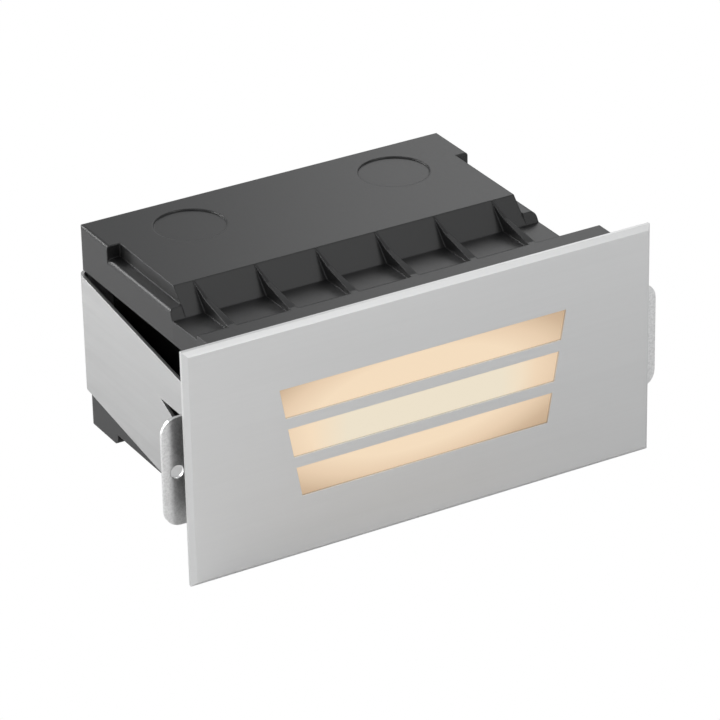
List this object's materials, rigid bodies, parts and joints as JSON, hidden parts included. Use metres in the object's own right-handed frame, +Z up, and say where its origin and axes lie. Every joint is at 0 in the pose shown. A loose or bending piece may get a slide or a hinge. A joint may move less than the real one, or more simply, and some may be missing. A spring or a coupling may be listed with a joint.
{
  "type": "recessed step light",
  "caption": "Recessed outdoor step light: slotted brushed stainless faceplate with glowing lens, black moulded back box and a stainless mounting strap with screw ears.",
  "frame": {"origin": "centre of the faceplate's back, on the wall plane", "axes": "+X across the faceplate to its right seen from the front, +Y into the wall, +Z up"},
  "size_m": [0.2442, 0.1359, 0.1108],
  "materials": {
    "back_box": "fine grained moulded black",
    "mounting_strap": "brushed stainless sheet",
    "strap_screws": "plated",
    "faceplate": "brushed stainless, grain along the width",
    "face_gasket": "closed-cell foam",
    "plate_studs": "plain",
    "stud_washers": "plain",
    "stud_nuts": "plain",
    "lens_gasket": "silicone",
    "lens": "frosted, lit from behind",
    "lamp_tray": "die cast",
    "reflector": "white",
    "led_board": "white solder mask",
    "led_chips": "yellow phosphor, lit",
    "thermal_pad": "grey-blue silicone",
    "board_screws": "plated",
    "board_terminal": "white",
    "driver_bracket": "folded sheet",
    "bracket_screws": "plated",
    "driver": "moulded case",
    "driver_screws": "plated",
    "lead_grommet": "moulded",
    "led_leads": "insulation",
    "supply_leads": "insulation",
    "wire_caps": "moulded",
    "earth_lead": "insulation",
    "earth_ring": "stamped",
    "earth_screw": "plain",
    "breather_vent": "moulded",
    "clip_brackets": "stamped sheet",
    "clip_rivets": "plain",
    "clip_pins": "ground",
    "clip_arm_left": "spring strip",
    "clip_spring_left": "spring wire",
    "clip_arm_right": "spring strip",
    "clip_spring_right": "spring wire"
  },
  "bodies": {
    "housing": {"back_box": "back_box", "mounting_strap": "mounting_strap", "strap_screws": "strap_screws"},
    "lamp_module": {"faceplate": "faceplate", "face_gasket": "face_gasket", "plate_studs": "plate_studs", "stud_washers": "stud_washers", "stud_nuts": "stud_nuts", "lens_gasket": "lens_gasket", "lens": "lens", "lamp_tray": "lamp_tray", "reflector": "reflector", "led_board": "led_board", "led_chips": "led_chips", "thermal_pad": "thermal_pad", "board_screws": "board_screws", "board_terminal": "board_terminal", "driver_bracket": "driver_bracket", "bracket_screws": "bracket_screws", "driver": "driver", "driver_screws": "driver_screws", "lead_grommet": "lead_grommet", "led_leads": "led_leads", "supply_leads": "supply_leads", "wire_caps": "wire_caps", "earth_lead": "earth_lead", "earth_ring": "earth_ring", "earth_screw": "earth_screw", "breather_vent": "breather_vent", "clip_brackets": "clip_brackets", "clip_rivets": "clip_rivets", "clip_pins": "clip_pins"},
    "clip_left": {"clip_arm_left": "clip_arm_left", "clip_spring_left": "clip_spring_left"},
    "clip_right": {"clip_arm_right": "clip_arm_right", "clip_spring_right": "clip_spring_right"}
  },
  "joints": [
    {"name": "module_pull", "type": "slide", "parent": "housing", "child": "lamp_module", "axis": [0, -1, 0], "range_m": [0, 0.115]},
    {"name": "clip_left_hinge", "type": "hinge", "parent": "lamp_module", "child": "clip_left", "pos_m": [-0.08252, 0.0082, 0], "axis": [0, 0, -1], "range_deg": [0, 12], "stiffness_Nm_per_rad": 0.3, "springref_deg": -8.59},
    {"name": "clip_right_hinge", "type": "hinge", "parent": "lamp_module", "child": "clip_right", "pos_m": [0.08252, 0.0082, 0], "axis": [0, 0, 1], "range_deg": [0, 12], "stiffness_Nm_per_rad": 0.3, "springref_deg": -8.59}
  ]
}
